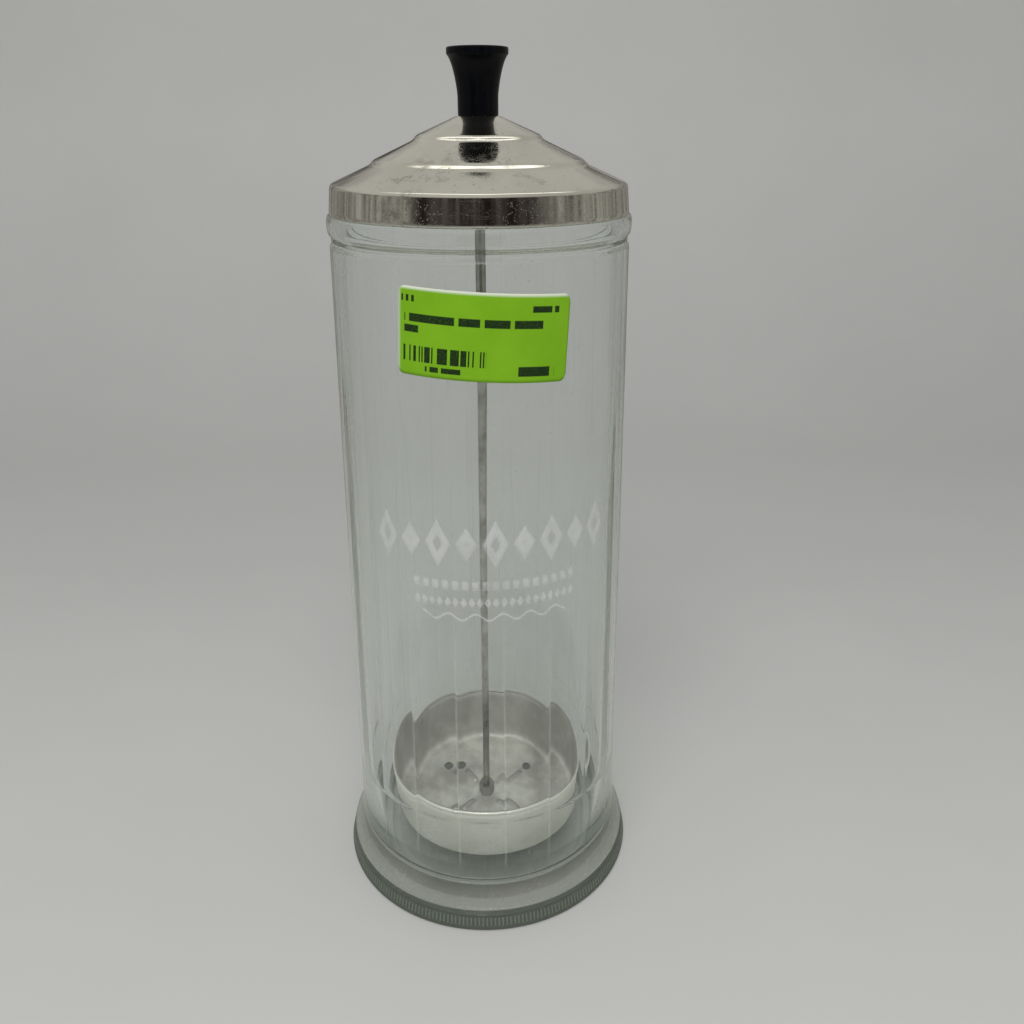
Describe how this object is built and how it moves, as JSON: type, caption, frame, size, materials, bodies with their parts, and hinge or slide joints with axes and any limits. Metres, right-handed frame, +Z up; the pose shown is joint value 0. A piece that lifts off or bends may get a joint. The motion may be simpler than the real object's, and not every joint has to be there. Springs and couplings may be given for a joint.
{
  "type": "disinfectant jar",
  "caption": "Tall fluted glass disinfectant jar with a domed metal lid and a knob on a rod that lifts a round instrument tray.",
  "frame": {"origin": "centre of the foot ring, on the surface that the jar stands on", "axes": "+Z up along the rod, -Y towards the front with the price label, +X to the right seen from the front"},
  "size_m": [0.1078, 0.1078, 0.2794],
  "materials": {
    "pressed_glass": "clear, pale green, smooth outside",
    "label_paper": "matt coated paper",
    "polished_steel": "mirror polished with fine scratches",
    "bush_plastic": "moulded nylon",
    "knob_plastic": "glossy black phenolic",
    "insert_brass": "turned",
    "rod_steel": "drawn, slightly dull",
    "tray_steel": "satin stamped sheet",
    "nut_steel": "plain machined"
  },
  "bodies": {
    "jar": {"glass_jar": "pressed_glass", "price_label": "label_paper"},
    "lid": {"lid_shell": "polished_steel"},
    "bush": {"guide_bush": "bush_plastic"},
    "lift": {"lift_rod": "rod_steel", "knob": "knob_plastic", "knob_insert": "insert_brass", "tray": "tray_steel", "hub_nut": "nut_steel", "under_washer": "nut_steel", "under_nut": "nut_steel"}
  },
  "joints": [
    {"name": "lid_lift", "type": "slide", "parent": "jar", "child": "lid", "axis": [0, 0, 1], "range_m": [0, 0.24]},
    {"name": "rod_spin", "type": "hinge", "parent": "lid", "child": "bush", "pos_m": [0, 0, 0.2612], "axis": [0, 0, 1], "continuous": true},
    {"name": "rod_lift", "type": "slide", "parent": "bush", "child": "lift", "axis": [0, 0, 1], "range_m": [0, 0.2]}
  ]
}
